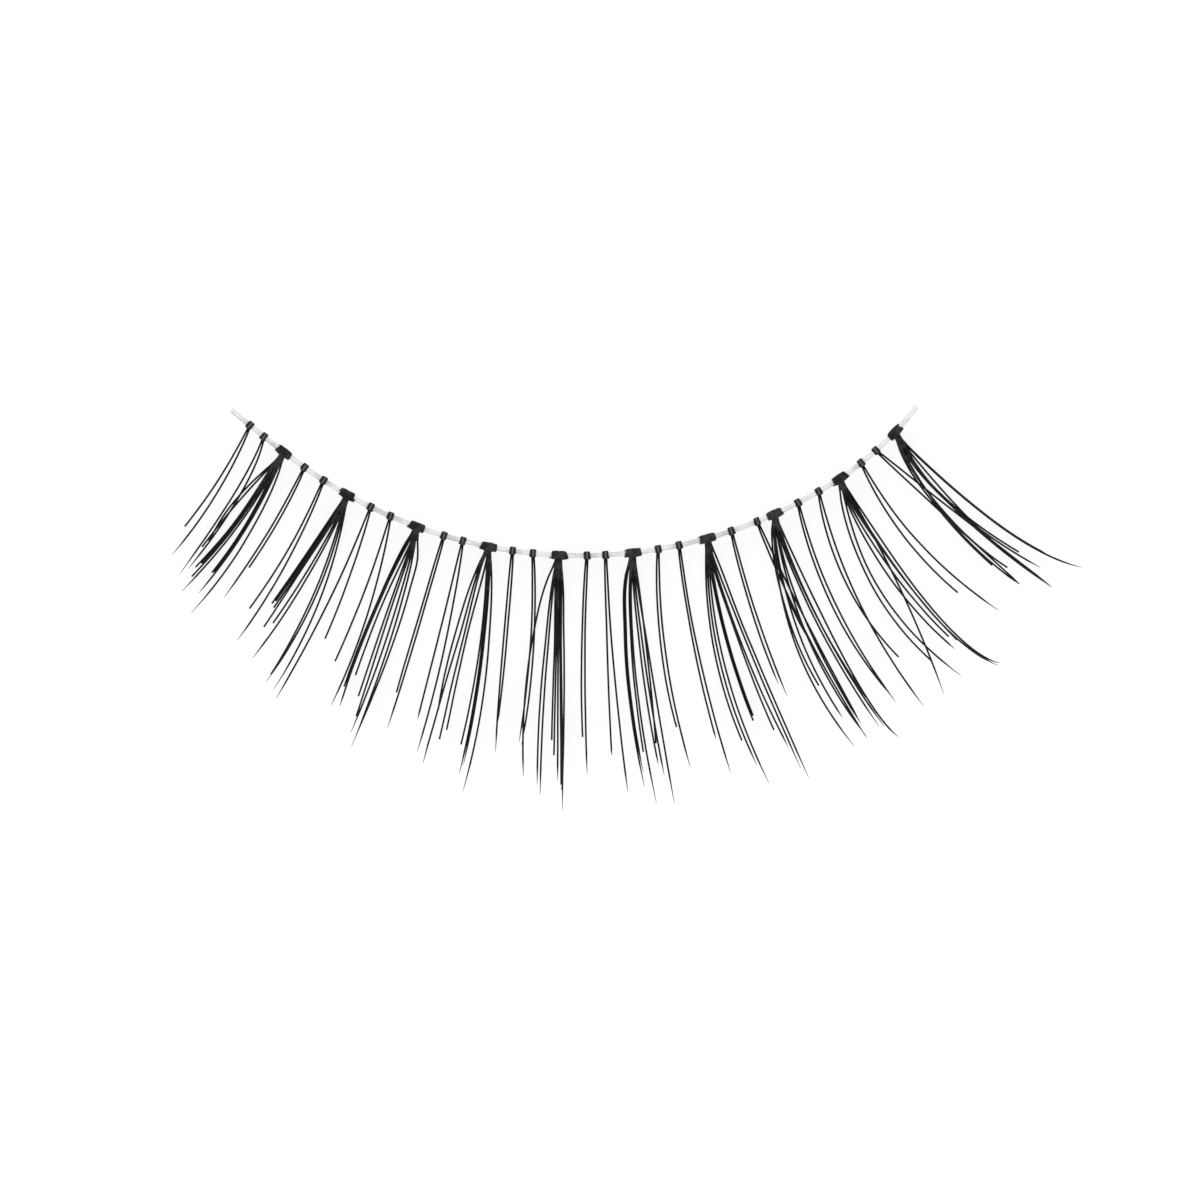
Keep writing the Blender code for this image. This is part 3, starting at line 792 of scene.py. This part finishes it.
def hairPoint(tuft, lock, distance, values, side):
    # the middle of a hair: through the knot and neck first, then along its lock's curve
    start = values["start"]
    point = planPoint(lock, distance)
    height = curlHeight(distance) + hair["radius"] * (1 - hair["thinning"] * distance / lock["tip"].length)
    parted = ease((distance - start) / hair["liftRun"])
    if "neckDistance" in values:
        neck = values["neckDistance"]
        opened = min(max((distance - neck) / (start - neck), 0), 1)
        flare = 1 + values["neckFlare"] * max(1 - distance / neck, 0)
        gathered = values["neckWidth"] * lock["share"] * flare
        seat = tuft["ahead"] * distance + tuft["across"] * (gathered + (lock["offset"] - gathered) * opened)
        point = seat.lerp(point, ease(distance / start))
        height += values["layerStep"] * (lock["layer"] - 1) * (1 - parted)
    height += lock["lift"] * parted
    along = planPoint(lock, distance + start) - planPoint(lock, distance)
    sideways = up.cross(along).normalized()
    point = point + sideways * (side * ease(distance / start))
    return Vector((tuft["place"].x + point.x, tuft["place"].y + point.y, height))


def hairStrand(tuft, lock, length, values, side):
    # blunt, or with a few closer steps down to a fine point
    first = values["hairStart"]
    even = length - lock["point"]
    stops = [(first + (even - first) * step / hair["steps"], 1) for step in range(hair["steps"] + 1)]
    if lock["point"]:
        for step in range(1, hair["pointSteps"] + 1):
            share = step / hair["pointSteps"]
            stops.append((even + lock["point"] * share, 1 - (1 - hair["finest"]) * share))
    strand = []
    for distance, left in stops:
        thickness = left * (1 - hair["thinning"] * distance / length)
        strand.append((hairPoint(tuft, lock, distance, values, side), thickness))
    return strand


def readHairs(tuft, chance):
    # every single hair of a tuft: its lock, its length and its step aside
    hairs = []
    for lock in tuft["locks"]:
        sides = [0] if lock["hairs"] == 1 else [-hair["sideStep"], hair["sideStep"]]
        for number, side in enumerate(sides):
            lost = hair["shorter"] * number * chance.random()
            hairs.append((lock, lock["tip"].length * (1 - lost), side))
    return hairs


def rootStrands(tuft, hairs, layer, chance):
    # glue along the first stretch of each hair, thinner towards its end and shorter on the outer hairs
    strands = []
    first = clusterTuft["hairStart"]
    thick, thin = layer["radii"]
    middle, outer = layer["reach"]
    for lock, length, side in hairs:
        reach = middle + (outer - middle) * abs(2 * lock["share"])
        end = mm * (lock["free"] or reach * (1 + gluedRoots["unevenness"] * chance.uniform(-1, 1)))
        strand = []
        for step in range(gluedRoots["steps"] + 1):
            share = step / gluedRoots["steps"]
            distance = first + (end - first) * share
            left = thick + (thin - thick) * share ** 2
            strand.append((hairPoint(tuft, lock, distance, clusterTuft, side), left / thick))
        strands.append(strand)
    return strands


def windKnot(name, tuft, values, seed, material, chance, run=0.0, paintedHighlight=0.0):
    carrier = bpy.data.objects.new(name, bpy.data.meshes.new(name))
    return runTree(carrier, knotWinding, {
        "Turns": values["turns"], "Coil Radius": values["coilRadius"], "Coil Width": values["coilWidth"],
        "Strand Radius": values["strandRadius"], "Belly": values["belly"], "Lean": values["lean"],
        "First Turn": chance.uniform(0, math.tau), "Reverse": chance.random() < 0.5,
        "Painted Highlight": paintedHighlight, "Unevenness": values["unevenness"], "Seed": seed,
        "Place": roundThread(tuft, run, 0, 0), "Heading": tuft["heading"], "Material": material,
    })


def roundThread(tuft, run, angle, radius):
    # a point beside the thread: 0 degrees is level on the hairs' side, 90 is on top
    along = Vector((math.cos(tuft["heading"]), math.sin(tuft["heading"]), 0))
    out = Vector((math.sin(tuft["heading"]), -math.cos(tuft["heading"]), 0))
    turn = math.radians(angle)
    return tuft["place"] + along * run + (out * math.cos(turn) + up * math.sin(turn)) * radius


def barStrands(tuft, values, chance):
    # strands that lie along the thread across the turns of a knot, their ends tucked in
    strands = []
    slip = knotBars["slip"]
    for angle, reach, thickness in values["bars"]:
        middle = chance.uniform(-slip, slip) * reach * mm
        reach *= mm * chance.uniform(*knotBars["lengths"])
        strand = []
        for step in range(knotBars["steps"] + 1):
            share = 2 * step / knotBars["steps"] - 1
            radius = values["barRadius"] - values["strandRadius"] * share ** 4
            strand.append((roundThread(tuft, middle + reach * share, angle, radius), thickness))
        strands.append(strand)
    return strands


def skinOver(name, meshes, values):
    # one smooth skin of dried glue over several meshes, made at a thousand times their size,
    # because a voxel of the real size is smaller than the remesher takes
    body = joinMeshes(name, meshes)
    body.data.transform(Matrix.Scale(1 / mm, 4))
    remesh = body.modifiers.new("skin", "REMESH")
    remesh.mode = "VOXEL"
    remesh.voxel_size = values["voxel"]
    soften = body.modifiers.new("soften", "SMOOTH")
    soften.factor = values["softening"]
    soften.iterations = values["rounds"]
    graph = bpy.context.evaluated_depsgraph_get()
    mesh = bpy.data.meshes.new_from_object(body.evaluated_get(graph), depsgraph=graph)
    body.modifiers.clear()
    bpy.data.objects.remove(body, do_unlink=True)
    mesh.transform(Matrix.Scale(mm, 4))
    mesh.materials.clear()
    mesh.materials.append(glueMaterial)
    mesh.shade_smooth()
    return mesh


def sweepFibre(name, strands, radius, material, seed, waviness=0.0):
    return sweepStrands(name, strands, {
        "Strand Radius": radius, "Sides": hair["sides"], "Seed": seed,
        "Material": material, "Waviness": waviness,
    })


def sweepHairs(name, tuft, hairs, values, seed):
    strands = [hairStrand(tuft, lock, length, values, side) for lock, length, side in hairs]
    return sweepFibre(name, strands, hair["radius"], fibreMaterial, seed, hair["waviness"])


def sweepRoots(name, tuft, hairs, layer, seed, chance):
    strands = rootStrands(tuft, hairs, layer, chance)
    return sweepFibre(name, strands, layer["radii"][0], glueMaterial, seed)


def makePair(number, row):
    node = f"pair_tuft_{number:02d}"
    chance = random.Random(number)
    tuft = readTuft(row, pairTuft)
    meshes = [sweepHairs(node, tuft, readHairs(tuft, chance), pairTuft, number)]
    loops = (-1, 0, 1)  # left, the middle one painted paler as a highlight, right
    for side in loops:
        run = side * chance.uniform(*pairTuft["loopStep"])
        seed = number * len(loops) + side
        # only the middle loop gets the painted highlight
        paintedHighlight = float(side == 0)
        meshes.append(windKnot(node, tuft, pairTuft, seed, fibreMaterial, chance, run, paintedHighlight))
    meshes.append(sweepFibre(node, barStrands(tuft, pairTuft, chance), mm, fibreMaterial, number))
    finishPiece(joinMeshes(node + "_hair", meshes), node)


def makeCluster(number, row):
    node = f"cluster_tuft_{number:02d}"
    seed = clusterTuft["firstSeed"] + number
    chance = random.Random(seed)
    tuft = readTuft(row, clusterTuft)
    hairs = readHairs(tuft, chance)
    mesh = sweepHairs(node, tuft, hairs, clusterTuft, seed)
    finishPiece(joinMeshes(node + "_hair", [mesh]), node)

    knot = windKnot(node, tuft, clusterTuft, seed, glueMaterial, chance)
    bars = sweepFibre(node, barStrands(tuft, clusterTuft, chance), mm, glueMaterial, seed)
    web = sweepRoots(node, tuft, hairs, gluedRoots["web"], seed, chance)
    skin = skinOver(node, [knot, bars, web], glueSkin)
    coat = sweepRoots(node, tuft, hairs, gluedRoots["coat"], seed, chance)
    finishPiece(joinMeshes(node + "_knot", [skin, coat]), node)


pairs = 0
clusters = 0
for row in tuftChart:
    if len(row[1]) == 2:
        pairs += 1
        makePair(pairs, row)
    else:
        clusters += 1
        makeCluster(clusters, row)
print("tufts made:", pairs, "pairs and", clusters, "clusters")


stage = {
    "floorSize": 4.0,
    "paper": ((0.16, 0.16, 0.16), (0.18, 0.18, 0.18)),
    "card": {  # it lies on a light table, so it glows
        "Roughness": 0.8, "Specular IOR Level": 0.2,
        "Emission Color": (1, 1, 1, 1), "Emission Strength": 0.82,
    },
    "grainSize": 0.6 * mm,
    "skyStrength": 0.98,
    "lamps": [  # place in m, size in m, power in W
        ((-0.25, 0.30, 0.60), 0.45, 0.8),
        ((0.35, -0.10, 0.70), 0.60, 0.6),
    ],
}


def makeFloor(values):
    half = values["floorSize"] / 2
    mesh = bpy.data.meshes.new("floor")
    corners = [(-half, -half, 0), (half, -half, 0), (half, half, 0), (-half, half, 0)]
    mesh.from_pydata(corners, [], [(0, 1, 2, 3)])
    floor = bpy.data.objects.new("floor", mesh)
    bpy.context.scene.collection.objects.link(floor)
    material, tree, shader = startMaterial("white card", values["card"])
    noise = putNode(tree, "ShaderNodeTexNoise", (-700, 0))
    noise.inputs["Scale"].default_value = 1 / values["grainSize"]
    where = putNode(tree, "ShaderNodeTexCoord", (-900, 0))
    plug(tree, where.outputs["Object"], noise.inputs["Vector"])
    dark, light = values["paper"]
    plug(tree, blendColour(tree, noise.outputs["Fac"], dark, light, (-400, 100)), shader.inputs["Base Color"])
    mesh.materials.append(material)


def makeLight(values):
    world = bpy.data.worlds.new("studio")
    world.use_nodes = True
    sky = world.node_tree.nodes["Background"]
    sky.inputs["Color"].default_value = (1, 1, 1, 1)
    sky.inputs["Strength"].default_value = values["skyStrength"]
    bpy.context.scene.world = world
    for number, (place, size, power) in enumerate(values["lamps"]):
        lamp = bpy.data.lights.new(f"softbox{number}", "AREA")
        lamp.size = size
        lamp.energy = power
        lampObject = bpy.data.objects.new(lamp.name, lamp)
        lampObject.location = place
        lampObject.rotation_euler = (-Vector(place)).to_track_quat("-Z", "Y").to_euler()
        lampObject.visible_camera = False
        bpy.context.scene.collection.objects.link(lampObject)


camera = {
    "height": 1.2,
    "frameWidth": 48 * mm,  # what the picture's width shows, at the thread's height
    "middle": (-1.090 * mm, 0.278 * mm),
    "sensor": 36.0,
    "clip": (0.01, 10),
}


def makeCamera(values):
    data = bpy.data.cameras.new("camera")
    data.sensor_width = values["sensor"]
    data.lens = values["sensor"] * (values["height"] - threadHeight) / values["frameWidth"]
    data.clip_start, data.clip_end = values["clip"]
    eye = bpy.data.objects.new("camera", data)
    eye.location = (*values["middle"], values["height"])
    bpy.context.scene.collection.objects.link(eye)
    bpy.context.scene.camera = eye


makeFloor(stage)
makeLight(stage)
makeCamera(camera)
bpy.context.scene.view_settings.view_transform = "Standard"
print("floor, light and camera set")
